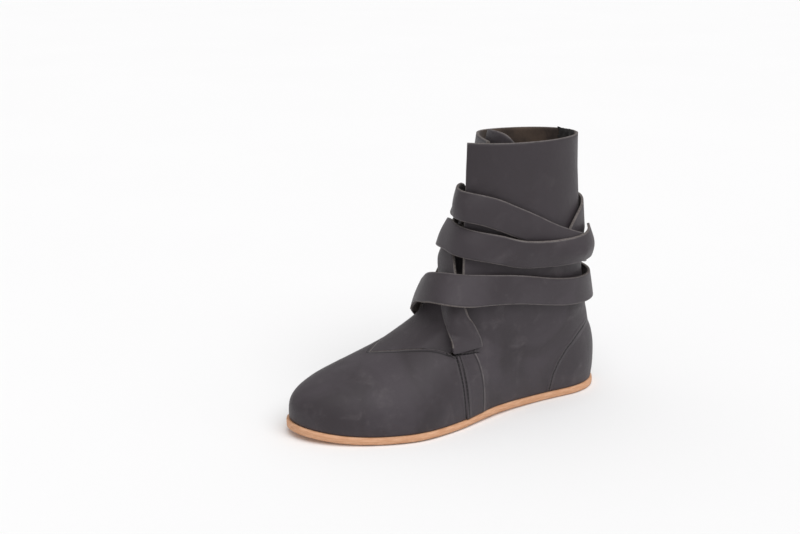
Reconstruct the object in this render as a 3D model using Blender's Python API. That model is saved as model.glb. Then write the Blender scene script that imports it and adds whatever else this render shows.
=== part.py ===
"""A left ankle boot of plain leather, closed by two wrap straps.

Metres, +Z up.  +X runs from heel to toe, +Y to the outer side of the foot, and the origin
lies on the floor under the middle of the heel.

Every piece is cut from one form, the last.  Its foot is a height field over the sole's
outline: a ridge line from the toe to the instep, with a rounded section across it.  Its leg
is a stack of level contours from the height of the throat to the collar.
"""

import math

import bmesh
import bpy
from mathutils import Vector
from mathutils.bvhtree import BVHTree

# Driving sizes
LENGTH = 0.255  # sole, heel to toe
BALL_WIDTH = 0.0925  # sole, across the ball
BOOT_HEIGHT = 0.200  # floor to collar
THROAT_HEIGHT = 0.050  # floor to the ridge, at the point of the throat
SOLE_THICKNESS = 0.0055
LEDGE = 0.0015  # the sole's edge outside the upper
TOE_SPRING = 0.005
ARCH = 0.0012  # the waist of the sole above the floor
INSOLE_THICKNESS = 0.0022
WALL = 0.002  # leather of the upper
MARGIN = 0.009  # edge of the upper turned in over the sole
STRIP_STEP = 0.001  # a side strip stands this far proud
TONGUE_THICKNESS = 0.002
STRAP_WIDTH = 0.0205
STRAP_THICKNESS = 0.002
GAP = 0.0003  # between pieces that touch

HEEL_CENTRE = 0.118  # share of the length from the back of the heel to the origin

# Sole outline between the round of the heel and the ball: shares of the length from the
# heel's back, and of the ball width from the long axis.
OUTER_EDGE = ((0.141, 0.292), (0.261, 0.313), (0.378, 0.372), (0.478, 0.452), (0.569, 0.532), (0.690, 0.582))
INNER_EDGE = ((0.141, 0.292), (0.261, 0.281), (0.378, 0.288), (0.490, 0.330), (0.590, 0.382), (0.706, 0.418))
TOE_TIP = 0.005  # the toe's point, a share of the ball width towards the outer side
OUTER_TOE = (1.45, 1.95)  # powers of the outline from the ball to the toe's point
INNER_TOE = (1.90, 2.05)

# Ridge of the last: share of the length, and height as a share of the throat's height.
RIDGE = (
    (0.500, 2.10),
    (0.530, 1.80),
    (0.553, 1.60),
    (0.570, 1.49),
    (0.604, 1.36),
    (0.647, 1.21),
    (0.694, 1.09),
    (0.741, 1.00),
    (0.803, 0.905),
    (0.865, 0.82),
    (0.925, 0.73),
    (1.000, 0.62),
)
RIDGE_SIDE = ((0.500, -0.02), (0.600, -0.04), (0.741, -0.055), (0.900, -0.025), (1.000, 0.005))
TOE_ROUND = 0.155  # share of the length over which the ridge rounds down to the toe
TOE_ROUND_POWER = 4.0
OUTER_SECTION = 2.15  # power of the rounded section, outer side
INNER_SECTION = 2.45

# Throat line, in shares of the length and of the ball width.
THROAT_POINT = (0.741, -0.055)
THROAT_END = (0.553, 0.402)  # outer side
THROAT_END_INNER = -0.300
SIDE_SEAM = 0.533  # share of the length at the feather line
SIDE_STRIP = 0.078  # width of the side strip, a share of the length
THROAT_ROUND = 1.18
THROAT_BOW = 0.045  # how far the throat line bows out, a share of the ball width

# Level contours of the quarters.  Level 0 is the throat's ends and 1 the collar.  The rest are
# shares: along the length for back, widest and the two flap edges, and of the ball width.
QUARTER = (
    # level, back, widest, outer, inner, outer edge x, y, inner edge x, y, inner bend, outer bend
    (0.00, 0.025, 0.200, 0.335, 0.330, 0.553, 0.402, 0.553, 0.300, 2.0, 2.0),
    (0.14, 0.044, 0.225, 0.355, 0.352, 0.540, 0.362, 0.541, 0.262, 2.3, 2.0),
    (0.28, 0.059, 0.245, 0.372, 0.370, 0.520, 0.310, 0.517, 0.190, 2.8, 2.1),
    (0.50, 0.072, 0.262, 0.364, 0.374, 0.494, 0.210, 0.480, 0.060, 3.4, 2.5),
    (0.64, 0.078, 0.267, 0.354, 0.369, 0.486, 0.180, 0.446, -0.015, 3.7, 2.6),
    (0.80, 0.083, 0.275, 0.341, 0.362, 0.480, 0.160, 0.427, -0.085, 3.8, 2.6),
    (1.00, 0.086, 0.282, 0.323, 0.352, 0.473, 0.135, 0.407, -0.140, 3.8, 2.6),
)
HEEL_SWELL = 0.0022  # how far the heel bellies out over the sole
SIDE_SWELL = 0.0012  # and the rest of the foot
SWELL_CORE = (0.200, 0.900)  # the foot's middle, which the swell goes out from

# Tongue above the instep, on the same levels.
TONGUE = (
    # level, ridge x, ridge y, edge x, outer edge y, inner edge y
    (0.25, 0.533, -0.035, 0.470, 0.295, 0.205),
    (0.37, 0.490, -0.025, 0.435, 0.270, 0.182),
    (0.50, 0.448, 0.000, 0.397, 0.262, 0.172),
    (0.64, 0.420, 0.020, 0.372, 0.255, 0.165),
    (0.82, 0.397, 0.045, 0.352, 0.250, 0.155),
    (1.00, 0.373, 0.060, 0.325, 0.240, 0.145),
)
TONGUE_RISE = 0.006  # the round top of the tongue above the collar
TONGUE_SECTION = 2.3

# Routes of the two straps: turn about the ankle in degrees, from the front through the outer
# side to the back; height as a share of the boot's; and slack, a share of the strap's width.
ANKLE_AXIS = 0.290  # share of the length
LATERAL_ROUTE = (
    (33.0, 0.277, 0.0),
    (32.7, 0.300, 0.0),
    (31.2, 0.327, 0.0),
    (28.0, 0.362, 0.0),
    (23.0, 0.415, 0.0),
    (16.0, 0.470, 0.0),
    (8.5, 0.523, 0.0),
    (0.0, 0.575, 0.0),
    (-14, 0.620, 0.0),
    (-40, 0.650, 0.0),
    (-80, 0.678, 0.0),
    (-120, 0.700, 0.0),
    (-150, 0.712, 0.0),
    (-180, 0.712, 0.0),
    (-198, 0.697, 0.0),
    (-211, 0.666, 0.0),
    (-221, 0.622, 0.0),
    (-229, 0.572, 0.0),
)
MEDIAL_ROUTE = (
    (-33.0, 0.275, 0.0),
    (-31.5, 0.310, 0.0),
    (-27.0, 0.350, 0.0),
    (-18.0, 0.393, 0.10),
    (-5, 0.435, 0.25),
    (6, 0.468, 0.25),
    (18, 0.485, 0.12),
    (36, 0.486, 0.0),
    (69, 0.472, 0.03),
    (110, 0.448, 0.04),
    (156, 0.425, 0.14),
    (190, 0.430, 0.08),
    (222, 0.475, 0.0),
    (250, 0.550, 0.0),
    (275, 0.630, 0.0),
    (298, 0.700, 0.0),
    (322, 0.750, 0.0),
    (347, 0.777, 0.0),
    (371, 0.782, 0.02),
    (392, 0.770, 0.0),
    (412, 0.737, 0.0),
    (445, 0.686, 0.0),
    (484, 0.622, 0.0),
    (515, 0.575, 0.0),
    (540, 0.548, 0.0),
    (575, 0.535, 0.0),
    (610, 0.545, 0.0),
    (645, 0.575, 0.0),
    (680, 0.620, 0.0),
    (708, 0.650, 0.0),
    (730, 0.655, 0.0),
    (757, 0.635, 0.0),
    (789, 0.606, 0.0),
    (830, 0.600, 0.0),
    (862, 0.604, 0.0),
    (884, 0.610, 0.0),
)
STRAP_STEP = 0.0052  # between two sections of a strap, along its middle
STRAP_BEND = 1  # sections either way that share a bend
STRAP_REACH = 10  # sections either way that the leather can bridge
STRAP_LOOK = 4  # sections either way where the skin's lean is read too, so one edge does not count
SEWN_SECTIONS = 3  # sections at a strap's foot that are sewn down and lie closest
STRAP_BATCH = 29  # sections laid at a time, over what was laid at least a quarter turn before

# Mesh fineness
HEEL_COLUMNS = 8
SIDE_COLUMNS = 7
VAMP_COLUMNS = 26
FOOT_ROWS = (0.0, 0.004, 0.018, 0.05, 0.11, 0.20, 0.33, 0.50, 0.68, 0.85, 1.0)
LEG_ROWS = 15
INSTEP_ROWS = (0.0, 0.12, 0.26, 0.42, 0.58, 0.74, 0.88)
TONGUE_ROWS = 11
TONGUE_COLUMNS = 14
SOLE_STATIONS = 44


def along(share):
    return (share - HEEL_CENTRE) * LENGTH


def mix(a, b, t):
    return a + (b - a) * t


def smooth(t):
    t = min(max(t, 0.0), 1.0)
    return t * t * (3.0 - 2.0 * t)


def curve(table, x, column=1):
    """A smooth curve through a table's rows, read at x; it goes on straight past the ends."""
    n = len(table)

    def slope(i):
        lo, hi = table[max(i - 1, 0)], table[min(i + 1, n - 1)]
        return (hi[column] - lo[column]) / (hi[0] - lo[0])

    if x <= table[0][0]:
        return table[0][column] + slope(0) * (x - table[0][0])
    if x >= table[-1][0]:
        return table[-1][column] + slope(n - 1) * (x - table[-1][0])
    i = max(k for k in range(n - 1) if table[k][0] <= x)
    step = table[i + 1][0] - table[i][0]
    t = (x - table[i][0]) / step
    a, b = table[i][column], table[i + 1][column]
    ta, tb = slope(i) * step, slope(i + 1) * step
    return (
        a * (2 * t**3 - 3 * t**2 + 1)
        + ta * (t**3 - 2 * t**2 + t)
        + b * (3 * t**2 - 2 * t**3)
        + tb * (t**3 - t**2)
    )


def sole_edge(x, outer, inset=0.0):
    """Half width of the sole's outline at x, measured from the long axis, less an inset."""
    table = OUTER_EDGE if outer else INNER_EDGE
    power, root = OUTER_TOE if outer else INNER_TOE
    heel_x, ball_x = along(table[0][0]), along(table[-1][0])
    back, tip = along(0.0) + inset, along(1.0) - inset
    tip_y = TOE_TIP * BALL_WIDTH * (1.0 if outer else -1.0)
    if x < heel_x:
        u = min((heel_x - x) / (heel_x - back), 1.0)
        return (table[0][1] * BALL_WIDTH - inset) * math.sqrt(1.0 - u * u)
    if x > ball_x:
        u = min((x - ball_x) / (tip - ball_x), 1.0)
        ball = table[-1][1] * BALL_WIDTH - inset
        return tip_y + (ball - tip_y) * (1.0 - u**power) ** (1.0 / root)
    share = x / LENGTH + HEEL_CENTRE
    rows = table[:-1] + (table[-1], (2 * table[-1][0] - table[-2][0], table[-2][1]))
    return curve(rows, share) * BALL_WIDTH - inset


def sole_lift(x):
    """Height of the sole's underside: flat at heel and ball, up at the waist and the toe."""
    toe = max((x - along(0.78)) / (along(1.0) - along(0.78)), 0.0)
    waist = (x - along(0.26)) / (along(0.56) - along(0.26))
    arch = math.sin(math.pi * waist) ** 2 if 0.0 < waist < 1.0 else 0.0
    return TOE_SPRING * toe * toe + ARCH * arch


def feather(x):
    """Height at which the upper meets the sole."""
    return sole_lift(x) + SOLE_THICKNESS + GAP


def ridge_height(x):
    share = x / LENGTH + HEEL_CENTRE
    start = along(1.0 - TOE_ROUND)
    u = min(max((x - start) / (along(1.0) - LEDGE - start), 0.0), 1.0)
    low = feather(x)
    roof = curve(RIDGE, share) * THROAT_HEIGHT
    return low + (roof - low) * (1.0 - u**TOE_ROUND_POWER) ** (1.0 / TOE_ROUND_POWER)


def ridge_side(x):
    return curve(RIDGE_SIDE, x / LENGTH + HEEL_CENTRE) * BALL_WIDTH


def foot_height(x, y):
    """Height of the last over a point of the sole."""
    middle = ridge_side(x)
    outer = y > middle
    reach = sole_edge(x, outer, LEDGE) + (-middle if outer else middle)
    power = OUTER_SECTION if outer else INNER_SECTION
    share = min(abs(y - middle) / max(reach, 1e-6), 1.0)
    low = feather(x)
    return low + (ridge_height(x) - low) * (1.0 - share**power) ** (1.0 / power)


def swell(p, g, amount):
    """How far a point low on the upper is pushed out by the foot's roundness."""
    core = min(max(p.x, along(SWELL_CORE[0])), along(SWELL_CORE[1]))
    out = Vector((p.x - core, p.y, 0.0)).normalized()
    return out * amount * math.sin(math.pi * min(g, 1.0) ** 0.42)


def throat(b):
    """The throat line: b is 1 at its outer end, 0 at its point and -1 at its inner end."""
    t = abs(b) ** THROAT_ROUND
    x = along(mix(THROAT_POINT[0], THROAT_END[0], t))
    side = THROAT_END[1] if b > 0 else THROAT_END_INNER
    bow = math.copysign(THROAT_BOW * math.sin(math.pi * abs(b)), b)
    return Vector((x, (mix(THROAT_POINT[1], side, t) + bow) * BALL_WIDTH, 0.0))


def vamp_point(b, g):
    """The vamp: b goes from side seam to side seam round the toe, g from sole to throat."""
    outer = b > 0
    x = mix(along(1.0) - LEDGE, along(SIDE_SEAM), 1.0 - math.sin((1.0 - abs(b)) * math.pi / 2))
    y = sole_edge(x, outer, LEDGE) * (1.0 if outer else -1.0)
    if b == 0:
        y = TOE_TIP * BALL_WIDTH
    foot = Vector((x, y, 0.0))
    if g == 0.0:
        foot.z = feather(x)
        return foot
    top = throat(b)
    p = foot.lerp(top, g)
    height = foot_height(p.x, p.y)
    p += swell(p, g, SIDE_SWELL)
    p.z = height
    return p


def contour(c, level):
    """Level contour of the quarters: c is -1 at the inner edge, 0 at the back, 1 at the outer."""
    side = 1.0 if c >= 0 else -1.0
    back, widest = (along(curve(QUARTER, level, k)) for k in (1, 2))
    wide = curve(QUARTER, level, 3 if side > 0 else 4) * BALL_WIDTH
    edge_x = along(curve(QUARTER, level, 5 if side > 0 else 7))
    edge_y = curve(QUARTER, level, 6 if side > 0 else 8) * BALL_WIDTH
    bend = curve(QUARTER, level, 10 if side > 0 else 9)
    return half_contour(abs(c), side, back, widest, wide, edge_x, edge_y, bend)


HEEL_PART = HEEL_COLUMNS / (HEEL_COLUMNS + SIDE_COLUMNS)


def half_contour(c, side, back, widest, wide, edge_x, edge_y, bend):
    if c < HEEL_PART:
        turn = c / HEEL_PART * math.pi / 2
        x = widest - (widest - back) * math.cos(turn)
        y = wide * math.sin(turn)
    else:
        t = (c - HEEL_PART) / (1.0 - HEEL_PART)
        even = mix(t, math.sin(t * math.pi / 2), smooth((bend - 2.0) / 1.2))
        x = mix(widest, edge_x, even)
        y = mix(wide, edge_y, even**bend)
    return Vector((x, y * side, 0.0))


def sole_contour(c):
    """The quarters' lower edge on the sole, with the same columns as the level contours."""
    side = 1.0 if c >= 0 else -1.0
    heel_x = along(OUTER_EDGE[0][0])
    back = along(0.0) + LEDGE
    p = half_contour(abs(c), side, back, heel_x, 1.0, along(SIDE_SEAM), 1.0, 2.0)
    if abs(c) < HEEL_PART:
        p.y *= OUTER_EDGE[0][1] * BALL_WIDTH - LEDGE
    else:
        p.y = side * sole_edge(p.x, side > 0, LEDGE)
    return p


def level_z(level):
    low = vamp_point(1.0, 1.0).z
    return mix(low, BOOT_HEIGHT, level)


def quarter_low(c, g):
    """The quarters below the throat's ends, row by row with the vamp."""
    p = sole_contour(c).lerp(contour(c, 0.0), g)
    outer, inner = vamp_point(1.0, g).z, vamp_point(-1.0, g).z
    z = mix(inner, outer, (c + 1.0) / 2)
    if g == 0.0:
        z = feather(p.x)
    p += swell(p, g, mix(HEEL_SWELL, SIDE_SWELL, abs(c) ** 2))
    p.z = z
    return p


def quarter_high(c, level):
    p = contour(c, level)
    p.z = level_z(level)
    return p


def side_columns():
    """The same columns with the side strips' steps: pairs of (column value, step)."""
    share = (1.0 - HEEL_PART) * SIDE_STRIP / (SIDE_SEAM - OUTER_EDGE[0][0])
    rear, thin = 1.0 - share, 0.003
    side = [mix(HEEL_PART, rear, i / SIDE_COLUMNS) for i in range(SIDE_COLUMNS)]
    heel = [HEEL_PART * i / HEEL_COLUMNS for i in range(1 - HEEL_COLUMNS, HEEL_COLUMNS)]
    plain = [-c for c in reversed(side)] + heel + side
    strip = [(rear, 0.0), (rear + thin, 1.0), (mix(rear, 1.0, 0.5), 1.0), (1.0 - thin, 1.0), (1.0, 0.0)]
    inner = [(-c, step) for c, step in reversed(strip)]
    return inner + [(c, 0.0) for c in plain] + strip


def grid_faces(bm, grid, closed):
    for low, high in zip(grid, grid[1:]):
        quads = list(zip(low, low[1:], high[1:], high))
        if closed:
            quads.append((low[-1], low[0], high[0], high[-1]))
        for quad in quads:
            bm.faces.new(quad)


def thicken(bm, thickness, proud=None):
    """Makes a sheet of leather a solid: the inner side is laid square to the outer one, and the
    rims are closed.  proud moves outer points that stand higher than the sheet."""
    bm.normal_update()
    outer = list(bm.verts)
    rims = [edge for edge in bm.edges if len(edge.link_faces) == 1]
    sides = [(e.link_faces[0], e.verts[0], e.verts[1]) for e in rims]
    inside = {v: bm.verts.new(v.co - v.normal * thickness * v.calc_shell_factor()) for v in outer}
    faces = list(bm.faces)
    for face in faces:
        bm.faces.new([inside[v] for v in reversed(face.verts)])
    for face, a, b in sides:
        loop = list(face.verts)
        if loop[(loop.index(a) + 1) % len(loop)] != b:
            a, b = b, a
        bm.faces.new((b, a, inside[a], inside[b]))
    for v, move in (proud or {}).items():
        v.co += move


def upper_sheet(bm):
    """The outer side of the whole upper.  Returns the points of the side strips, which stand proud."""
    columns = side_columns()
    proud = {}

    def place(p, step, side):
        v = bm.verts.new(p)
        if step:
            proud[v] = Vector((0.0, STRIP_STEP * side, 0.0))
        return v

    rows = []
    for g in FOOT_ROWS:
        points = [(quarter_low(c, g), step, math.copysign(1, c)) for c, step in columns]
        front = [1.0 - 2.0 * i / VAMP_COLUMNS for i in range(1, VAMP_COLUMNS)]
        points += [(vamp_point(b, g), 0.0, 1) for b in front]
        rows.append(points)
    turned = []
    first = [p for p, _, _ in rows[0]]
    for i, p in enumerate(first):
        run = first[(i + 1) % len(first)] - first[i - 1]
        q = p - Vector((run.y, -run.x, 0.0)).normalized() * -MARGIN
        q.z = feather(q.x)
        turned.append((q, 0.0, 1))
    grid = [[place(*point) for point in row] for row in [turned] + rows]
    grid_faces(bm, grid, closed=True)
    n = len(columns)
    leg = [grid[-1][:n]]
    for k in range(LEG_ROWS + 1):
        level = mix(0.008, 1.0, k / LEG_ROWS)
        leg.append([bm.verts.new(quarter_high(c, level)) for c, _ in columns])
    grid_faces(bm, leg, closed=False)
    return proud


def tongue_ring(c, level):
    ridge_x, ridge_y, edge_x, outer_y, inner_y = (curve(TONGUE, level, k) for k in range(1, 6))
    turn = abs(c) * math.pi / 2
    share_x, share_y = (abs(f(turn)) ** (2 / TONGUE_SECTION) for f in (math.cos, math.sin))
    edge_y = outer_y if c > 0 else -inner_y
    return Vector((
        along(mix(edge_x, ridge_x, share_x)),
        mix(ridge_y, edge_y, share_y) * BALL_WIDTH,
        0.0,
    ))


def tongue_sheet(bm):
    values = [2.0 * i / TONGUE_COLUMNS - 1.0 for i in range(TONGUE_COLUMNS + 1)]
    base = TONGUE[0][0]
    rows = []
    for u in INSTEP_ROWS:
        row = []
        for c in values:
            start, end = throat(c * 0.86), tongue_ring(c, base)
            start += (end - start).normalized() * GAP * 1.5
            p = start.lerp(end, u)
            slack = level_z(base) - foot_height(end.x, end.y)
            p.z = foot_height(p.x, p.y) + slack * u * u
            row.append(p)
        rows.append(row)
    for k in range(TONGUE_ROWS + 1):
        t = k / TONGUE_ROWS
        row = []
        for c in values:
            p = tongue_ring(c, mix(base, 1.0, t))
            p.z = level_z(mix(base, 1.0, t)) + (TONGUE_RISE - 2.2 * TONGUE_RISE * abs(c) ** 3) * t**3
            row.append(p)
        rows.append(row)
    grid_faces(bm, [[bm.verts.new(p) for p in row] for row in rows], closed=False)


def polygons(bm):
    bm.verts.index_update()
    return [v.co.copy() for v in bm.verts], [[v.index for v in f.verts] for f in bm.faces]


def tree_of(skins):
    points, faces = [], []
    for verts, polys in skins:
        start = len(points)
        points += verts
        faces += [[start + i for i in poly] for poly in polys]
    return BVHTree.FromPolygons(points, faces)


def reach(tree, turn, z):
    """Radius of the skin about the ankle's axis."""
    out = Vector((math.cos(turn), math.sin(turn), 0.0))
    axis = Vector((along(ANKLE_AXIS), 0.0, z))
    hit = tree.ray_cast(axis + out * LENGTH, -out)[0]
    return (hit - axis).length if hit else 0.0


def at_turn(turn, radius, z):
    return Vector((along(ANKLE_AXIS) + radius * math.cos(turn), radius * math.sin(turn), z))


def wind(route):
    """Even steps along a strap's route: turn in radians, height and slack."""
    radius = 0.15 * LENGTH
    table, length = [], 0.0
    for i, (degrees, share, slack) in enumerate(route):
        turn, z = math.radians(degrees), share * BOOT_HEIGHT
        if i:
            length += math.hypot((turn - table[-1][1]) * radius, z - table[-1][2])
        table.append((length, turn, z, slack * STRAP_WIDTH))
    count = max(int(length / STRAP_STEP), 2)
    places = [length * i / count for i in range(count + 1)]
    return [(curve(table, s, 1), curve(table, s, 2), max(curve(table, s, 3), 0.0)) for s in places]


def edge_places(tree, steps, i):
    """Turn and height of a strap's lower edge, middle and upper edge at one step."""
    turn, z, _ = steps[i]
    radius = reach(tree, turn, z)
    a, b = steps[max(i - 1, 0)], steps[min(i + 1, len(steps) - 1)]
    run = Vector(((b[0] - a[0]) * radius, b[1] - a[1])).normalized()
    across = Vector((-run.y, run.x)) * STRAP_WIDTH / 2
    if across.y < 0:
        across.negate()
    for _ in range(3):
        leans = []
        for j in (max(i - STRAP_LOOK, 0), i, min(i + STRAP_LOOK, len(steps) - 1)):
            t, height, _ = steps[j]
            low, middle, high, top = (
                reach(tree, t + s * across.x / radius, height + s * across.y) for s in (-0.5, 0, 0.5, 1)
            )
            leans += [2 * (high - low), 2 * (top - middle)]
        leans.sort()
        across *= STRAP_WIDTH / math.hypot(2 * across.length, (leans[2] + leans[3]) / 2)
    return [(turn + s * across.x / radius, z + s * across.y) for s in (-1, 0, 1)]


def chord(a, b, turn):
    """Radius at a turn of the straight line between two places, each a turn and a radius."""
    ax, ay, bx, by = (r * f(t) for t, r in (a, b) for f in (math.cos, math.sin))
    across = math.cos(turn) * (by - ay) - math.sin(turn) * (bx - ax)
    if abs(across) < 1e-9 or not min(a[0], b[0]) < turn < max(a[0], b[0]):
        return 0.0
    return max((ax * by - bx * ay) / across, 0.0)


def taut(rail, fixed):
    """A rail pulled tight: it crosses each hollow in a straight line."""
    pulled = [list(place) for place in rail]
    for i in range(fixed, len(rail)):
        turn = rail[i][0]
        before = rail[max(i - STRAP_REACH, 0): i]
        after = rail[i + 1: i + 1 + STRAP_REACH]
        spans = [chord(a[:2], b[:2], turn) for a in before for b in after]
        pulled[i][1] = max([rail[i][1]] + spans)
    return pulled


def rounded(rail, fixed):
    """A rail as stiff leather takes it: no sharp corners, and nowhere closer in than before."""
    n = len(rail)

    def near(i):
        span = min(STRAP_BEND, i, n - 1 - i)
        return range(i - span, i + span + 1)

    def evened(values):
        return [sum(values[j] for j in near(i)) / len(near(i)) for i in range(n)]

    radii = [place[1] for place in rail]
    soft = evened(evened(radii))
    short = [max(a - b, 0.0) for a, b in zip(radii, soft)]
    lift = evened([max(short[j] for j in near(i)) for i in range(n)])
    return [
        place if i < fixed else [place[0], soft[i] + lift[i], place[2]]
        for i, place in enumerate(rail)
    ]


def lay(tree, places, radii):
    """Radii of a strap's three rails over the skin.  The radii that are already laid stay."""
    fixed = len(radii)
    rails = []
    for k in range(3):
        rail = [[*places[i][k][:1], radii[i][k], places[i][k][1]] for i in range(fixed)]
        rail += [[t, reach(tree, t, z), z] for t, z in (place[k] for place in places[fixed:])]
        rails.append(taut(rail, fixed))
    axis = Vector((along(ANKLE_AXIS), 0.0, 0.0))
    for _ in range(12):
        for low, high in zip(rails, rails[1:]):
            for i in range(max(fixed - 1, 0), len(low) - 1):
                corners = [at_turn(*rail) for rail in (low[i], high[i], low[i + 1], high[i + 1])]
                for u, v in FIT_POINTS:
                    p = corners[0].lerp(corners[1], u).lerp(corners[2].lerp(corners[3], u), v) - axis
                    need = reach(tree, math.atan2(p.y, p.x), p.z) + GAP - math.hypot(p.x, p.y)
                    if need > 0.0:
                        for rail, j, share in (
                            (low, i, (1 - u) * (1 - v)),
                            (high, i, u * (1 - v)),
                            (low, i + 1, (1 - u) * v),
                            (high, i + 1, u * v),
                        ):
                            if j >= fixed:
                                rail[j][1] += need * share
    rails = [taut(rounded(taut(rail, fixed), fixed), fixed) for rail in rails]
    radii = [[rail[i][1] for rail in rails] for i in range(len(places))]
    for low_middle_high in radii[fixed:]:
        low, middle, high = low_middle_high
        low_middle_high[1] = max(middle, (low + high) / 2)
    return radii


FIT_POINTS = [(u / 3, v / 4) for u in range(4) for v in range(5)]


def strap_sections(rails, steps):
    """Six points round the strap at each step: the inner side, then the outer side."""
    sections = []
    for i, (low, middle, high) in enumerate(rails):
        a, b = rails[max(i - 1, 0)], rails[min(i + 1, len(rails) - 1)]
        out = ((b[0] + b[2]) - (a[0] + a[2])).cross(high - low).normalized()
        if out.dot(low - Vector((along(ANKLE_AXIS), 0.0, low.z))) < 0:
            out.negate()
        near = 3 * min(i / SEWN_SECTIONS, 1.0) * GAP + steps[i][2]
        far = near + STRAP_THICKNESS
        section = [p + out * near for p in (low, middle, high)]
        sections.append(section + [p + out * far for p in (high, middle, low)])
    return sections


def strap(name, skins, route, colour):
    """A flat leather strap, wound over the skins and over its own earlier turns."""
    steps = wind(route)
    radii, places = [], []
    sections = []
    back = next((i for i, s in enumerate(steps) if abs(s[0] - steps[0][0]) > math.pi / 2), len(steps))
    for start in range(0, len(steps), STRAP_BATCH):
        own = polygons(strap_mesh(sections[: start - back])) if start - back > 1 else None
        tree = tree_of(skins + ([own] if own else []))
        ahead = min(start + STRAP_BATCH + STRAP_REACH, len(steps))
        places = places[:start] + [edge_places(tree, steps, i) for i in range(start, ahead)]
        radii = lay(tree, places, radii[:start])
        laid = min(start + STRAP_BATCH, len(steps))
        rails = [[at_turn(t, r, z) for (t, z), r in zip(places[i], radii[i])] for i in range(ahead)]
        sections = sections[:start] + strap_sections(rails, steps)[start:laid]
        radii = radii[:laid]
    skins.append(polygons(strap_mesh(sections)))
    return link(name, strap_mesh(sections), colour, 0.75)


def strap_mesh(sections):
    bm = bmesh.new()
    rings = [[bm.verts.new(p) for p in section] for section in sections]
    for a, b in zip(rings, rings[1:]):
        for k in range(6):
            bm.faces.new((a[k], a[(k + 1) % 6], b[(k + 1) % 6], b[k]))
    for ring in (rings[0], rings[-1]):
        bm.faces.new((ring[0], ring[1], ring[4], ring[5]))
        bm.faces.new((ring[1], ring[2], ring[3], ring[4]))
    return bm


def plate(name, inset, bottom, thickness, colour, roughness):
    """A flat piece with the sole's outline: bottom is its height over the sole's underside."""
    bm = bmesh.new()
    back, tip = along(0.0) + inset, along(1.0) - inset
    rows = []
    for i in range(1, SOLE_STATIONS):
        x = mix(back, tip, (1.0 - math.cos(math.pi * i / SOLE_STATIONS)) / 2)
        rows.append((x, sole_edge(x, True, inset), -sole_edge(x, False, inset)))
    ends = ((back, 0.0), (tip, TOE_TIP * BALL_WIDTH))

    def corner(x, y):
        low = sole_lift(x) + bottom
        return bm.verts.new((x, y, low)), bm.verts.new((x, y, low + thickness))

    heel, toe = (corner(*end) for end in ends)
    outer = [corner(x, y) for x, y, _ in rows]
    middle = [corner(x, (a + b) / 2) for x, a, b in rows]
    inner = [corner(x, y) for x, _, y in rows]
    for line in (outer, inner):
        for k in (0, 1):
            for a, b, c, d in zip(line, line[1:], middle[1:], middle):
                bm.faces.new((a[k], b[k], c[k], d[k]))
            bm.faces.new((heel[k], line[0][k], middle[0][k]))
            bm.faces.new((toe[k], line[-1][k], middle[-1][k]))
        for a, b in zip([heel] + line, line + [toe]):
            bm.faces.new((a[0], b[0], b[1], a[1]))
    return link(name, bm, colour, roughness)


def link(name, bm, colour, roughness):
    bmesh.ops.remove_doubles(bm, verts=bm.verts, dist=1e-6)
    bmesh.ops.recalc_face_normals(bm, faces=bm.faces)
    mesh = bpy.data.meshes.new(name)
    bm.to_mesh(mesh)
    bm.free()
    mesh.shade_smooth()
    mesh.set_sharp_from_angle(angle=math.radians(40))
    obj = bpy.data.objects.new(name, mesh)
    bpy.context.scene.collection.objects.link(obj)
    mat = bpy.data.materials.new(name)
    mat.use_nodes = True
    shader = mat.node_tree.nodes["Principled BSDF"]
    shader.inputs["Base Color"].default_value = (*colour, 1.0)
    shader.inputs["Roughness"].default_value = roughness
    shader.inputs["Metallic"].default_value = 0.0
    mesh.materials.append(mat)
    return obj


def build():
    for old in list(bpy.data.objects):
        bpy.data.objects.remove(old, do_unlink=True)
    plate("outsole", 0.0, 0.0, SOLE_THICKNESS, (0.67, 0.39, 0.24), 0.7)
    inset = LEDGE + WALL + 4 * GAP
    lift = SOLE_THICKNESS + WALL + 2 * GAP
    plate("insole", inset, lift, INSOLE_THICKNESS, (0.42, 0.27, 0.17), 0.75)
    skins = []
    bm = bmesh.new()
    proud = upper_sheet(bm)
    bmesh.ops.recalc_face_normals(bm, faces=bm.faces)
    thicken(bm, WALL, proud)
    skins.append(polygons(bm))
    link("upper", bm, (0.075, 0.067, 0.072), 0.75)
    bm = bmesh.new()
    tongue_sheet(bm)
    thicken(bm, TONGUE_THICKNESS)
    skins.append(polygons(bm))
    link("tongue", bm, (0.085, 0.076, 0.082), 0.75)
    strap("strap_lateral", skins, LATERAL_ROUTE, (0.078, 0.070, 0.075))
    strap("strap_medial", skins, MEDIAL_ROUTE, (0.078, 0.070, 0.075))


build()
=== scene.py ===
"""Looks of the ankle boot: grey waxed leather with creases, sewn seams and raw cut edges, on a
pale leather sole.

Each leather piece is cut from its solid: the copy is merged, smoothed, creased and given its
grain.  Sizes are in metres, in the boot's own frame: +X to the toe, +Y to the outer
side, +Z up.
"""

import math

import bmesh
import bpy
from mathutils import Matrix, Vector, kdtree, noise
from mathutils.bvhtree import BVHTree


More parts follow.
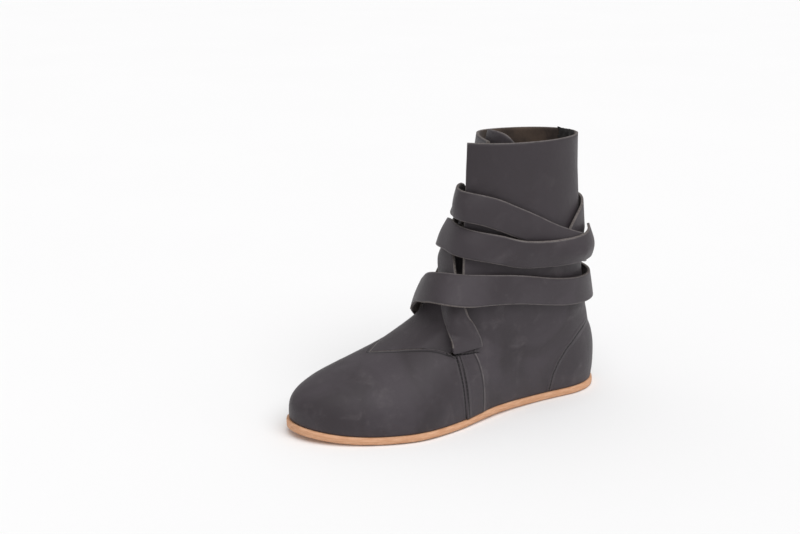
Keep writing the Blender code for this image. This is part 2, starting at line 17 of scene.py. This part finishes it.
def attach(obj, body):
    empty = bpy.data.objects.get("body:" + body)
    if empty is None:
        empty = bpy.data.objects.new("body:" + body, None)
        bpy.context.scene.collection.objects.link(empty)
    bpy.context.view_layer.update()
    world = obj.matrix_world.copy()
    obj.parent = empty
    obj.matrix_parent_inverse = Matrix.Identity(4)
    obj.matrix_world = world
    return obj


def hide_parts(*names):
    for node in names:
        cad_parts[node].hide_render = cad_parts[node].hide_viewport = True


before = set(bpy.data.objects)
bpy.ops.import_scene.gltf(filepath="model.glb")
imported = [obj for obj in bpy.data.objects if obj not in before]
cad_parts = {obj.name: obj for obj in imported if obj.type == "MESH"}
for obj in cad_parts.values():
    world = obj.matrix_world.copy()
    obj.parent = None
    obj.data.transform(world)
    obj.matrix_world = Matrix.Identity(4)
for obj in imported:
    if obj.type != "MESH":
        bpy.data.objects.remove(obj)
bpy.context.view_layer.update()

MM = 0.001
LEATHER = 2.0 * MM  # thickness of the upper, the tongue and the straps

# Camera
CAMERA_AT = (0.5039, 0.7361, 0.3499)
CAMERA_AIM = (0.1367, 0.0, 0.1121)
LENS = 54.0
SENSOR = 36.0

# Floor and light
FLOOR_RADIUS = 6.0
FLOOR_DROP = 0.2 * MM  # the paper lies this far under the sole
SKY_LIGHT = 0.53
WINDOW_LIGHT = 1.84
WINDOW_FROM = (-0.05, 0.50, 1.0)
WINDOW_WIDTH = 60.0  # degrees of the sky that the soft window fills

# The middle of the boot, which outward() goes out from: a line along the foot, and an upright
# one in the leg.
FOOT_CORE = (-0.002, 0.185)
LEG_CORE = (0.032, 0.055)
CORE_HEIGHT = 0.022
LEG_FROM = 0.045  # height where the foot begins to turn into the leg
LEG_BLEND = 0.040

# The two side strips: their reach along the foot, how far out they start, and their height.
STRIP_REACH = (0.060, 0.118)
STRIP_OUT = 0.026
STRIP_HEIGHT = (0.007, 0.0545)
STRAP_FOOT = 0.0575  # a strap's sewn end lies under this height
THROAT = (0.113, 0.060)  # the vamp's sewn edge lies ahead of and under this place, x and z

# Seams, in millimetres on the outer side: the counter's seam, from the back of the heel down
# to the sole; the two lines at the front of the side strip; and the line across its head.
COUNTER_SEAM = ((-18.5, 12.0, 56.5), (-7.0, 22.0, 51.5), (3.5, 28.0, 46.0), (11.0, 30.5, 40.0),
                (17.0, 32.0, 31.0), (21.5, 32.5, 20.0), (24.0, 32.5, 6.0))
STRIP_STITCH = ((103.5, 45.0, 6.0), (105.0, 44.5, 20.0), (107.0, 41.0, 38.0),
                (108.4, 36.5, 54.0))
STRIP_FRONT = ((106.3, 44.5, 6.0), (107.8, 44.0, 20.0), (109.8, 40.5, 38.0), (111.0, 36.0, 53.0))
STRIP_HEAD = ((114.0, 35.5, 52.8), (110.0, 37.0, 53.4), (101.0, 38.5, 54.0), (90.0, 38.5, 54.2))
HALF_STITCH = 1.5  # half the way from one stitch to the next, in millimetres
REAR_GROOVE = 1.6  # the strip's rear seam, in millimetres ahead of its edge
VAMP_GROOVE = 2.0  # the vamp's seam, in millimetres from its edge
FAR = 50.0  # millimetres, the most that is written into the leather

# The tongue's lower outer corner is tucked in under the flap: how far, in millimetres, and
# where that begins, outward of one place and under another, with the way to its full amount.
TUCK = (-4.5, 1.0, -4.0)
TUCK_OUT, TUCK_OUT_BLEND = 0.022, 0.008
TUCK_UNDER, TUCK_UNDER_BLEND = 0.072, 0.012

# The dark scrap left inside the collar, at the back, in millimetres: its middle across and up,
# half its length and half its height.
SCRAP_AT = (-4.0, 195.0)
SCRAP_HALF = (7.2, 5.2)
SCRAP_TOP = 201.2  # no part of it reaches higher
COLLAR_TOP = 198.5  # the highest place where the wall behind it is felt for
SCRAP_BACK = 0.25  # its hidden side stands this far off the wall
SCRAP_GRID = (22, 12)  # columns and rows of its mesh

# Creases pressed into the upper: points in millimetres, depth and half width.  Where
# the depth is below zero the leather stands out.
CREASES = (
    (((58, 38, 190), (60, 38, 165), (61, 38, 140)), 0.55, 7.0),
    (((34, 40, 188), (33, 40, 168), (36, 40, 150)), -0.45, 8.0),
    (((10, 34, 186), (9, 34, 160), (12, 34, 140)), 0.40, 6.0),
    (((-6, 20, 182), (-7, 20, 158), (-4, 22, 138)), -0.35, 6.0),
    (((40, 38, 96), (22, 36, 90), (4, 30, 86)), 0.50, 4.5),
    (((-14, 20, 84), (2, 30, 78), (18, 35, 76)), 0.45, 4.0),
    (((-19, 10, 70), (-8, 24, 64), (6, 31, 62)), 0.40, 3.5),
    (((70, 40, 84), (52, 38, 74), (34, 37, 70)), -0.40, 6.0),
    (((112, 44, 20), (120, 40, 36), (124, 30, 46)), 0.45, 5.0),
    (((128, 50, 14), (138, 45, 28), (144, 34, 40)), 0.40, 6.0),
    (((150, 48, 16), (158, 38, 30), (160, 20, 41)), 0.35, 7.0),
    (((172, 42, 14), (178, 34, 25), (180, 18, 35)), -0.35, 7.0),
    (((40, -34, 96), (22, -33, 90), (4, -28, 86)), 0.50, 4.5),
    (((-14, -20, 84), (2, -29, 78), (18, -33, 76)), 0.45, 4.0),
    (((118, -32, 18), (126, -30, 32), (130, -22, 44)), 0.45, 5.0),
    (((142, -36, 14), (150, -31, 28), (153, -20, 38)), 0.35, 6.0),
    (((58, -32, 190), (60, -32, 165), (61, -32, 140)), 0.50, 7.0),
    (((20, -34, 188), (19, -34, 165), (22, -34, 140)), -0.45, 8.0),
)

FACE, FLESH, RAW, STEP = range(4)  # grain side, flesh side, cut edge and a strip's rear edge

# Colours, each finish's from dark to light
RUBBED_AND_HIGHLIT = (0.150, 0.135, 0.135)  # where the dye is worn off an edge, and painted highlight where an edge catches the light
SEAM = (0.006, 0.005, 0.006)
GREY = ((0.0335, 0.0265, 0.0310), (0.0550, 0.0455, 0.0535), (0.0930, 0.0800, 0.0870))
STRAP_GREY = ((0.0375, 0.0300, 0.0350), (0.0570, 0.0475, 0.0550), (0.0930, 0.0800, 0.0870))
BROWN_NAP = ((0.038, 0.025, 0.020), (0.112, 0.076, 0.055))
RAW_GREY = ((0.085, 0.072, 0.068), (0.200, 0.178, 0.170))
SOOT = ((0.006, 0.005, 0.005), (0.022, 0.017, 0.015))
TAN = ((0.52, 0.265, 0.145), (0.60, 0.310, 0.170), (0.73, 0.425, 0.260))
TREAD_AND_CONTACT_SHADOW = (0.30, 0.175, 0.10)  # under the sole, worn, and a painted contact shadow along the foot of its edge
UNDYED = ((0.22, 0.14, 0.085), (0.36, 0.25, 0.165))
PAPER = ((0.93, 0.93, 0.935), (0.95, 0.95, 0.955))
DAYLIGHT = (1.0, 0.995, 0.99)


def ramp(t):
    """A share from 0 to 1 that starts and ends softly."""
    t = min(max(t, 0.0), 1.0)
    return t * t * (3.0 - 2.0 * t)


def outward(p):
    """The way out of the boot at a point, level in the shaft and round the foot below it."""
    leg = ramp((p.z - LEG_FROM) / LEG_BLEND)
    low, high = (foot + (shaft - foot) * leg for foot, shaft in zip(FOOT_CORE, LEG_CORE))
    level = min(p.z, CORE_HEIGHT) * (1 - leg) + p.z * leg
    core = Vector((min(max(p.x, low), high), 0.0, level))
    return (p - core).normalized()


def nearest_on(path, p):
    """The place of a path nearest to a point: how far off it is, how far along the path, the
    path's direction there and the place itself; and the path's whole length."""
    best = None
    run = 0.0
    for a, b in zip(path, path[1:]):
        span = b - a
        t = min(max((p - a).dot(span) / span.length_squared, 0.0), 1.0)
        q = a + span * t
        gap = (p - q).length
        if best is None or gap < best[0]:
            best = (gap, run + span.length * t, span.normalized(), q)
        run += span.length
    return best, run


def in_metres(points, side=1.0):
    """Points given in millimetres, on the outer side or, with -1, on the inner one."""
    return [Vector((x * MM, y * MM * side, z * MM)) for x, y, z in points]


# Cutting the pieces


def cut_form(node):
    """A copy of a solid with its doubles merged and its quads put back."""
    form = bmesh.new()
    form.from_mesh(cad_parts[node].data)
    bmesh.ops.remove_doubles(form, verts=form.verts, dist=0.01 * MM)
    bmesh.ops.join_triangles(
        form,
        faces=form.faces,
        angle_face_threshold=math.radians(50),
        angle_shape_threshold=math.radians(60),
    )
    return form


def is_thin(face):
    """Whether a face lies on a cut edge, as wide as the leather is thick."""
    lengths = [edge.calc_length() for edge in face.edges]
    return max(min(lengths), face.calc_area() / max(lengths)) < 1.35 * LEATHER


def hold_cut_edges(form, hold, angle=50):
    """Square cut edges keep their shape when the piece is smoothed.  Without an angle, only the
    long edges of a strap's cut sides do."""
    crease = form.edges.layers.float.new("crease_edge")
    for edge in form.edges:
        if edge.is_manifold:
            if angle:
                held = edge.calc_face_angle() > math.radians(angle)
            else:
                thin = [is_thin(face) for face in edge.link_faces]
                held = thin[0] != thin[1] or (all(thin) and edge.calc_face_angle() > 1.1)
            edge[crease] = hold if held else 0.0


def smoothed(form, name, levels=2):
    """The piece's smooth mesh."""
    mesh = bpy.data.meshes.new(name)
    form.to_mesh(mesh)
    form.free()
    rough = bpy.data.objects.new(name, mesh)
    bpy.context.scene.collection.objects.link(rough)
    soft = rough.modifiers.new("smooth", "SUBSURF")
    soft.levels = soft.render_levels = levels
    graph = bpy.context.evaluated_depsgraph_get()
    fine = bpy.data.meshes.new_from_object(rough.evaluated_get(graph))
    bpy.data.objects.remove(rough)
    bpy.data.meshes.remove(mesh)
    return fine


def finish_piece(mesh, name, materials, replaced=()):
    """Names the piece, gives it its materials and lets it stand for its solids."""
    mesh.name = name
    for material in materials:
        mesh.materials.append(material)
    for face in mesh.polygons:
        if face.material_index == STEP:
            face.material_index = FACE
    mesh.shade_smooth()
    mesh.set_sharp_from_angle(angle=math.radians(48))
    piece = bpy.data.objects.new(name, mesh)
    bpy.context.scene.collection.objects.link(piece)
    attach(piece, "root")
    if replaced:
        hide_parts(*replaced)
    return piece


def sort_sides(form):
    """Marks the grain side, the flesh side and the cut edges of a piece of leather."""
    crease = form.edges.layers.float.get("crease_edge")
    for face in form.faces:
        facing = face.normal.dot(outward(face.calc_center_median()))
        held = [edge for edge in face.edges if edge[crease] > 0.0]
        if held and is_thin(face) and abs(facing) < 0.8:
            face.material_index = RAW
        else:
            face.material_index = FACE if facing > 0 else FLESH


def press_creases(mesh, creases):
    """Moves the leather in along each crease, both sides of the wall together."""
    paths = [(in_metres(points), depth * MM, width * MM) for points, depth, width in creases]
    boxes = []
    for path, _, width in paths:
        reach = 2.6 * width
        spans = [(min(axis), max(axis)) for axis in zip(*path)]
        boxes.append([(low - reach, high + reach) for low, high in spans])
    for vertex in mesh.vertices:
        p = vertex.co
        move = Vector()
        for (path, depth, width), box in zip(paths, boxes):
            if all(low < p[k] < high for k, (low, high) in enumerate(box)):
                (gap, run, _, _), total = nearest_on(path, p)
                fade = ramp(min(run, total - run) / (0.3 * total) + 0.15)
                dent = math.exp(-((gap / width) ** 2))
                swell = 0.35 * math.exp(-(((gap - 2 * width) / width) ** 2))
                move -= outward(p) * depth * (dent - swell) * fade
        if move.length_squared > 0:
            vertex.co = p + move


def ripple(mesh, size, depth, offset=0.0):
    """Slow unevenness of hand-worked leather."""
    for vertex in mesh.vertices:
        p = vertex.co
        wave = noise.noise(p / size + Vector((offset, 0.0, 0.0)))
        vertex.co = p + outward(p) * wave * depth


def mark_rims(mesh, vamp=False):
    """Writes into the leather how far each place is from a raw cut edge, in millimetres, whether
    that edge is the vamp's sewn one, and how far ahead of a side strip's rear edge it is."""
    corners = {kind: set() for kind in (FACE, FLESH, RAW, STEP)}
    for face in mesh.polygons:
        for i in face.vertices:
            if face.material_index != FACE or face.center.x > mesh.vertices[i].co.x:
                corners[face.material_index].add(i)
    trees = []
    for found in (corners[RAW], corners[STEP] & corners[FACE]):
        tree = kdtree.KDTree(len(found))
        for i in found:
            tree.insert(mesh.vertices[i].co, i)
        tree.balance()
        trees.append(tree if found else None)
    mark = mesh.attributes.new("rim", "FLOAT_VECTOR", "POINT")
    for vertex in mesh.vertices:
        near, _, gap = trees[0].find(vertex.co)
        sewn = vamp and near.x > THROAT[0] and near.z < THROAT[1]
        ahead = FAR
        if trees[1]:
            strip, _, off = trees[1].find(vertex.co)
            ahead = min(off / MM, FAR) * (1.0 if vertex.co.x > strip.x else -1.0)
        mark.data[vertex.index].vector = (min(gap / MM, FAR), 1.0 if sewn else 0.0, ahead)


# Finishes


class Finish:
    """A node material, built up one node at a time."""

    def __init__(self, name):
        self.material = bpy.data.materials.new(name)
        self.material.use_nodes = True
        self.tree = self.material.node_tree
        self.shader = self.tree.nodes["Principled BSDF"]
        self.place = self.tree.nodes.new("ShaderNodeTexCoord").outputs["Object"]
        self.bumps = []

    def node(self, kind, **values):
        made = self.tree.nodes.new(kind)
        for key, value in values.items():
            setattr(made, key, value)
        return made

    def feed(self, socket, value):
        if isinstance(value, bpy.types.NodeSocket):
            self.tree.links.new(value, socket)
        else:
            socket.default_value = value

    def cloud(self, scale, detail=3.0, rough=0.5, warp=0.0, place=None):
        made = self.node("ShaderNodeTexNoise")
        self.feed(made.inputs["Vector"], place or self.place)
        self.feed(made.inputs["Scale"], scale)
        self.feed(made.inputs["Detail"], detail)
        self.feed(made.inputs["Roughness"], rough)
        self.feed(made.inputs["Distortion"], warp)
        return made.outputs["Fac"]

    def cells(self, scale):
        made = self.node("ShaderNodeTexVoronoi", feature="DISTANCE_TO_EDGE")
        self.feed(made.inputs["Vector"], self.place)
        self.feed(made.inputs["Scale"], scale)
        return made.outputs["Distance"]

    def band(self, value, low, high, start=0.0, end=1.0):
        made = self.node("ShaderNodeMapRange", interpolation_type="SMOOTHSTEP")
        self.feed(made.inputs["Value"], value)
        self.feed(made.inputs["From Min"], low)
        self.feed(made.inputs["From Max"], high)
        self.feed(made.inputs["To Min"], start)
        self.feed(made.inputs["To Max"], end)
        return made.outputs["Result"]

    def maths(self, operation, a, b=0.0):
        made = self.node("ShaderNodeMath", operation=operation)
        self.feed(made.inputs[0], a)
        self.feed(made.inputs[1], b)
        return made.outputs[0]

    def tint(self, share, a, b):
        made = self.node("ShaderNodeMix", data_type="RGBA")
        self.feed(made.inputs["Factor"], share)
        for key, colour in (("A", a), ("B", b)):
            socket = next(s for s in made.inputs if s.name == key and s.type == "RGBA")
            plain = not isinstance(colour, bpy.types.NodeSocket)
            self.feed(socket, (*colour, 1.0) if plain else colour)
        return next(s for s in made.outputs if s.type == "RGBA")

    def height(self):
        parts = self.node("ShaderNodeSeparateXYZ")
        self.feed(parts.inputs[0], self.place)
        return parts.outputs[2]

    def parts_of(self, attribute):
        mark = self.node("ShaderNodeAttribute", attribute_name=attribute)
        parts = self.node("ShaderNodeSeparateXYZ")
        self.feed(parts.inputs[0], mark.outputs["Vector"])
        return parts.outputs

    def relief(self, height, distance, strength=1.0):
        made = self.node("ShaderNodeBump")
        self.feed(made.inputs["Height"], height)
        self.feed(made.inputs["Distance"], distance)
        self.feed(made.inputs["Strength"], strength)
        if self.bumps:
            self.feed(made.inputs["Normal"], self.bumps[-1])
        self.bumps.append(made.outputs["Normal"])

    def done(self, colour, roughness, **fixed):
        self.feed(self.shader.inputs["Base Color"], colour)
        self.feed(self.shader.inputs["Roughness"], roughness)
        if self.bumps:
            self.feed(self.shader.inputs["Normal"], self.bumps[-1])
        for key, value in fixed.items():
            self.shader.inputs[key.replace("_", " ")].default_value = value
        return self.material


def edge_wear_and_highlights(fin, colour, rub, rim):
    """The leather paler along its cut edges and the strip's rear edge, partly where it is rubbed
    and partly as a painted highlight, and drawn in along the strip's rear seam and the vamp's
    seam."""
    # Partly rubbed wear, partly painted highlight: paler along the cut edges and the strip's rear
    # edge.
    uneven_wear_and_highlight = fin.band(rub, 0.30, 0.60, 0.35, 1.0)
    worn_and_lit = fin.maths("MULTIPLY", fin.band(rim[0], 0.10, 0.80, 1.0, 0.0), uneven_wear_and_highlight)
    colour = fin.tint(fin.maths("MULTIPLY", worn_and_lit, 0.75), colour, RUBBED_AND_HIGHLIT)
    rear = fin.band(fin.maths("ABSOLUTE", rim[2]), 0.15, 0.70, 0.9, 0.0)
    colour = fin.tint(fin.maths("MULTIPLY", rear, uneven_wear_and_highlight), colour, RUBBED_AND_HIGHLIT)
    ahead = fin.maths("ABSOLUTE", fin.maths("SUBTRACT", rim[2], REAR_GROOVE))
    colour = fin.tint(fin.band(ahead, 0.15, 0.60, 0.85, 0.0), colour, SEAM)
    off_edge = fin.maths("ABSOLUTE", fin.maths("SUBTRACT", rim[0], VAMP_GROOVE))
    groove = fin.maths("MULTIPLY", fin.band(off_edge, 0.15, 0.70, 1.0, 0.0), rim[1])
    colour = fin.tint(fin.maths("MULTIPLY", groove, 0.8), colour, SEAM)
    fin.relief(fin.maths("ADD", groove, fin.band(rim[0], 0.0, 1.1, 1.0, 0.0)), -0.0005, 0.7)
    return colour


def sewn_seam(fin, colour, light, attribute):
    """A line of stitches, with the leather puffed up beside it and a painted highlight on the
    puff.
    """
    gap, run, here = fin.parts_of(attribute)
    gap = fin.maths("ABSOLUTE", gap)
    stitch = fin.maths("PINGPONG", run, HALF_STITCH)
    line = fin.maths("MULTIPLY", fin.band(gap, 0.25, 0.80, 1.0, 0.0), here)
    puff_and_highlight = fin.maths("MULTIPLY", fin.band(gap, 0.9, 3.2, 1.0, 0.0), here)
    gaps = fin.band(stitch, 0.25, 0.60, 0.55, 1.0)
    # Painted highlight on the puffed leather beside the seam.
    colour = fin.tint(fin.maths("MULTIPLY", puff_and_highlight, 0.22), colour, light)
    colour = fin.tint(fin.maths("MULTIPLY", line, gaps), colour, SEAM)
    fin.relief(fin.maths("SUBTRACT", puff_and_highlight, fin.maths("MULTIPLY", line, 0.9)), 0.0006, 0.8)
    return colour


def grain_side(name, dark, mid, light, seams=()):
    """Waxed grey leather: soft clouds, rubbed spots, fine grain and pores, painted shade darker
    up the shaft, paler along its cut edges from wear and a painted highlight, and drawn in along
    its seams with a painted highlight beside them."""
    fin = Finish(name)
    clouds = fin.cloud(21.0, 4.0, 0.55, 0.8)
    patches = fin.cloud(62.0, 5.0, 0.62, 0.4)
    rub = fin.cloud(210.0, 4.0, 0.65)
    colour = fin.tint(fin.band(clouds, 0.32, 0.68), dark, mid)
    colour = fin.tint(fin.band(patches, 0.52, 0.80, 0.0, 0.60), colour, light)
    colour = fin.tint(fin.band(patches, 0.20, 0.44, 0.45, 0.0), colour, dark)
    colour = fin.tint(fin.band(rub, 0.60, 0.80, 0.0, 0.30), colour, light)
    # Painted shade: the leather darker up the shaft.
    colour = fin.tint(fin.band(fin.height(), 0.080, 0.175, 0.0, 0.75), colour, dark)
    fin.relief(fin.band(fin.cells(2300.0), 0.0, 0.22), 0.00007, 0.45)
    fin.relief(fin.cloud(1400.0, 3.0, 0.6), 0.00010, 0.35)
    fin.relief(fin.cloud(240.0, 3.0, 0.5), 0.0004, 0.35)
    colour = edge_wear_and_highlights(fin, colour, rub, fin.parts_of("rim"))
    for attribute in seams:
        colour = sewn_seam(fin, colour, light, attribute)
    roughness = fin.band(clouds, 0.3, 0.7, 0.47, 0.60)
    return fin.done(
        colour, roughness, Specular_IOR_Level=0.34, Sheen_Weight=0.05, Sheen_Roughness=0.5
    )


def flesh_side(name, dark, light):
    """The flesh side: short brown nap, rubbed in patches."""
    fin = Finish(name)
    patches = fin.cloud(60.0, 5.0, 0.6, 0.5)
    nap = fin.cloud(1600.0, 4.0, 0.7)
    colour = fin.tint(fin.band(patches, 0.35, 0.68), dark, light)
    colour = fin.tint(fin.band(nap, 0.3, 0.75, 0.0, 0.35), colour, dark)
    fin.relief(nap, 0.00025, 0.6)
    fin.relief(fin.cloud(300.0, 3.0), 0.0005, 0.35)
    return fin.done(
        colour, 0.9, Specular_IOR_Level=0.2, Sheen_Weight=0.25, Sheen_Roughness=0.6
    )


def cut_edge(name, dark, light):
    """A raw cut edge: paler fibres between two darker skins."""
    fin = Finish(name)
    fibres = fin.cloud(900.0, 5.0, 0.7)
    patches = fin.cloud(120.0, 3.0, 0.6)
    colour = fin.tint(fin.band(fibres, 0.35, 0.65), dark, light)
    colour = fin.tint(fin.band(patches, 0.45, 0.75, 0.0, 0.5), colour, light)
    fin.relief(fibres, 0.0003, 0.7)
    return fin.done(colour, 0.85, Specular_IOR_Level=0.2)


def sole_side(name, dark, mid, light):
    """Undyed sole leather: warm tan, fibrous at its cut edge, rubbed dull underneath, with a
    painted contact shadow along the foot of its edge.
    """
    fin = Finish(name)
    stretch = fin.node("ShaderNodeMapping")
    fin.feed(stretch.inputs["Vector"], fin.place)
    stretch.inputs["Scale"].default_value = (1.0, 1.0, 9.0)
    layers = fin.cloud(120.0, 4.0, 0.6, 0.2, stretch.outputs["Vector"])
    fibres = fin.cloud(700.0, 4.0, 0.65, 0.0, stretch.outputs["Vector"])
    patches = fin.cloud(40.0, 4.0, 0.6)
    colour = fin.tint(fin.band(layers, 0.35, 0.7), mid, light)
    colour = fin.tint(fin.band(patches, 0.55, 0.8, 0.0, 0.5), colour, dark)
    # Darker at the very bottom: rubbed underneath, and a painted contact shadow along the foot of
    # the edge.
    colour = fin.tint(fin.band(fin.height(), 0.0, 0.0011, 0.65, 0.0), colour, TREAD_AND_CONTACT_SHADOW)
    fin.relief(fibres, 0.0003, 0.5)
    fin.relief(layers, 0.0005, 0.4)
    return fin.done(colour, 0.68, Specular_IOR_Level=0.35)


SEAMS = {
    "counter_seam": COUNTER_SEAM,
    "strip_stitch": STRIP_STITCH,
    "strip_front": STRIP_FRONT,
    "strip_head": STRIP_HEAD,
}
GRAIN = grain_side("grey_leather", *GREY, seams=SEAMS)
BAND = grain_side("grey_strap_leather", *STRAP_GREY)
NAP = flesh_side("flesh_side", *BROWN_NAP)
EDGE = cut_edge("raw_edge", *RAW_GREY)
SCRAP = flesh_side("dark_scrap", *SOOT)
SOLE = sole_side("sole_leather", *TAN)
INSOLE = flesh_side("insole_leather", *UNDYED)


# Pieces


def mark_seam(mesh, name, points):
    """Writes a seam's place into both sides of the upper: how far off it is and how far along
    it, in millimetres, and whether the seam runs here."""
    mark = mesh.attributes.new(name, "FLOAT_VECTOR", "POINT")
    outer, inner = in_metres(points), in_metres(points, -1.0)
    for vertex in mesh.vertices:
        out = outward(vertex.co)
        path = outer if vertex.co.y > 0 else inner
        (_, run, direction, q), total = nearest_on(path, vertex.co)
        off = vertex.co - q
        here = ramp(min(run, total - run) / (HALF_STITCH * MM) + 0.01)
        if abs(off.dot(out)) > 6 * MM:
            here = 0.0
        across = off.dot(direction.cross(out).normalized())
        mark.data[vertex.index].vector = (across / MM, run / MM, here)


def on_strip(p):
    """Whether a place is at the edge of one of the two side strips."""
    along = STRIP_REACH[0] < p.x < STRIP_REACH[1]
    return along and abs(p.y) > STRIP_OUT and STRIP_HEIGHT[0] < p.z < STRIP_HEIGHT[1]


def make_upper():
    form = cut_form("upper")
    hold_cut_edges(form, 0.85)
    sort_sides(form)
    for face in form.faces:
        if abs(face.normal.x) > 0.5 and on_strip(face.calc_center_median()):
            face.material_index = STEP if face.normal.x < 0 else FACE
    mesh = smoothed(form, "upper_leather")
    ripple(mesh, 0.030, 0.5 * MM)
    ripple(mesh, 0.011, 0.12 * MM, 7.0)
    press_creases(mesh, CREASES)
    for name, points in SEAMS.items():
        mark_seam(mesh, name, points)
    mark_rims(mesh, vamp=True)
    return finish_piece(mesh, "upper_leather", (GRAIN, NAP, EDGE), ("upper",))


def make_tongue():
    form = cut_form("tongue")
    hold_cut_edges(form, 0.85)
    sort_sides(form)
    mesh = smoothed(form, "tongue_leather")
    for vertex in mesh.vertices:
        p = vertex.co
        tucked = ramp((p.y - TUCK_OUT) / TUCK_OUT_BLEND)
        tucked *= ramp((TUCK_UNDER - p.z) / TUCK_UNDER_BLEND)
        vertex.co = p + Vector(TUCK) * (MM * tucked)
    ripple(mesh, 0.022, 0.35 * MM, 3.0)
    mark_rims(mesh)
    return finish_piece(mesh, "tongue_leather", (BAND, NAP, EDGE), ("tongue",))


def make_strap(node):
    form = cut_form(node)
    hold_cut_edges(form, 0.9, None)
    sort_sides(form)
    for face in form.faces:
        if face.material_index == RAW and face.calc_center_median().z < STRAP_FOOT:
            face.material_index = FACE  # the strap's foot is sewn to the side strip, edge to edge
    mesh = smoothed(form, node + "_leather", 3)
    ripple(mesh, 0.018, 0.12 * MM, 5.0)
    mark_rims(mesh)
    return finish_piece(mesh, node + "_leather", (BAND, NAP, EDGE), (node,))


def make_sole_piece(node, material, hold):
    """The outsole or the insole."""
    form = cut_form(node)
    hold_cut_edges(form, hold)
    mesh = smoothed(form, node + "_leather")
    return finish_piece(mesh, node + "_leather", (material,), (node,))


def make_scrap(upper):
    """The dark ragged scrap that is left at the inside of the back, up to the collar."""
    corners = [vertex.co.copy() for vertex in upper.data.vertices]
    wall = BVHTree.FromPolygons(corners, [tuple(face.vertices) for face in upper.data.polygons])
    form = bmesh.new()
    columns, rows = SCRAP_GRID
    bmesh.ops.create_grid(form, x_segments=columns, y_segments=rows, size=1.0)
    shell = bmesh.ops.extrude_face_region(form, geom=form.faces[:], use_keep_orig=True)
    front = {item for item in shell["geom"] if isinstance(item, bmesh.types.BMVert)}
    for vertex in form.verts:
        u, v, _ = vertex.co
        edge = max(abs(u), abs(v))
        ragged = noise.noise(Vector((3.1 * u, 2.7 * v, 4.0)))
        spread = 1.0 + 0.34 * ragged * edge**2
        y = (SCRAP_AT[0] + SCRAP_HALF[0] * u * spread) * MM
        z = min(SCRAP_AT[1] + SCRAP_HALF[1] * v * spread, SCRAP_TOP) * MM
        start = Vector((LEG_CORE[0], y, min(z, COLLAR_TOP * MM)))
        back = wall.ray_cast(start, Vector((-1.0, 0.0, 0.0)))[0].x
        folds = noise.noise(Vector((2.2 * u, 2.6 * v, 9.0)))
        lift = 0.35 + (0.9 + 0.55 * folds) * (1.0 - 0.85 * edge**3)
        vertex.co = (back + (lift if vertex in front else SCRAP_BACK) * MM, y, z)
    bmesh.ops.recalc_face_normals(form, faces=form.faces)
    mesh = bpy.data.meshes.new("collar_scrap")
    form.to_mesh(mesh)
    form.free()
    return finish_piece(mesh, "collar_scrap", (SCRAP,))


# Camera, floor and light


def set_camera():
    camera = bpy.data.objects.new("camera", bpy.data.cameras.new("camera"))
    bpy.context.scene.collection.objects.link(camera)
    camera.location = CAMERA_AT
    aim = Vector(CAMERA_AIM) - Vector(CAMERA_AT)
    camera.rotation_euler = aim.to_track_quat("-Z", "Y").to_euler()
    camera.data.lens = LENS
    camera.data.sensor_width = SENSOR
    camera.data.clip_start = 0.01
    bpy.context.scene.camera = camera


def lay_floor():
    form = bmesh.new()
    bmesh.ops.create_circle(form, cap_ends=True, segments=96, radius=FLOOR_RADIUS)
    mesh = bpy.data.meshes.new("floor")
    form.to_mesh(mesh)
    form.free()
    paper = Finish("paper")
    tone = paper.tint(paper.cloud(3.0), *PAPER)
    mesh.materials.append(paper.done(tone, 0.9, Specular_IOR_Level=0.1))
    floor = bpy.data.objects.new("floor", mesh)
    floor.location.z = -FLOOR_DROP
    bpy.context.scene.collection.objects.link(floor)


def light_it():
    """Even light from all round, and a wide soft window on the outer side, high up."""
    scene = bpy.context.scene
    world = scene.world or bpy.data.worlds.new("studio")
    scene.world = world
    world.use_nodes = True
    sky = world.node_tree.nodes["Background"]
    sky.inputs["Color"].default_value = (*DAYLIGHT, 1.0)
    sky.inputs["Strength"].default_value = SKY_LIGHT
    light = bpy.data.lights.new("window", "SUN")
    light.energy = WINDOW_LIGHT
    light.angle = math.radians(WINDOW_WIDTH)
    window = bpy.data.objects.new("window", light)
    window.rotation_euler = (-Vector(WINDOW_FROM)).to_track_quat("-Z", "Y").to_euler()
    scene.collection.objects.link(window)
    scene.view_settings.view_transform = "Standard"


set_camera()
lay_floor()
light_it()
make_sole_piece("outsole", SOLE, 0.75)
make_sole_piece("insole", INSOLE, 0.7)
make_scrap(make_upper())
make_tongue()
make_strap("strap_lateral")
make_strap("strap_medial")
